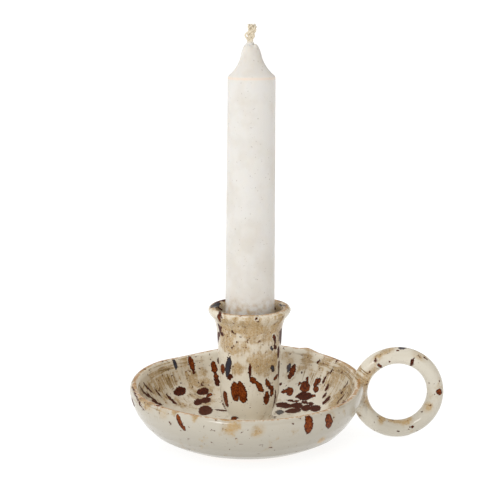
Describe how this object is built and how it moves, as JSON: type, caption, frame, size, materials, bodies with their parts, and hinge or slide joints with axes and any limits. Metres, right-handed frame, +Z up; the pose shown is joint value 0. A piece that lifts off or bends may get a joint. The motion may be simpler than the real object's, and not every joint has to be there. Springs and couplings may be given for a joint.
{
  "type": "chamberstick",
  "caption": "Glazed stoneware chamberstick: a shallow dish with an uneven rim, a tulip candle socket, a finger loop and a removable dinner candle.",
  "frame": {"origin": "centre of the foot, on the plane of the table", "axes": "+Z up along the candle, +X from the dish's centre towards the finger loop, +Y towards the back of the dish"},
  "size_m": [0.1405, 0.1044, 0.1837],
  "materials": {
    "glazed_stoneware": "glossy",
    "candle_wax": "satin",
    "cotton_wick": "matte"
  },
  "bodies": {
    "holder": {"dish": "glazed_stoneware", "candle_socket": "glazed_stoneware", "socket_luting": "glazed_stoneware", "finger_ring": "glazed_stoneware", "ring_luting": "glazed_stoneware"},
    "candle": {"candle": "candle_wax", "wick": "cotton_wick"}
  },
  "joints": [
    {"name": "candle_lift", "type": "slide", "parent": "holder", "child": "candle", "axis": [0, 0, 1], "range_m": [0, 0.048]}
  ]
}
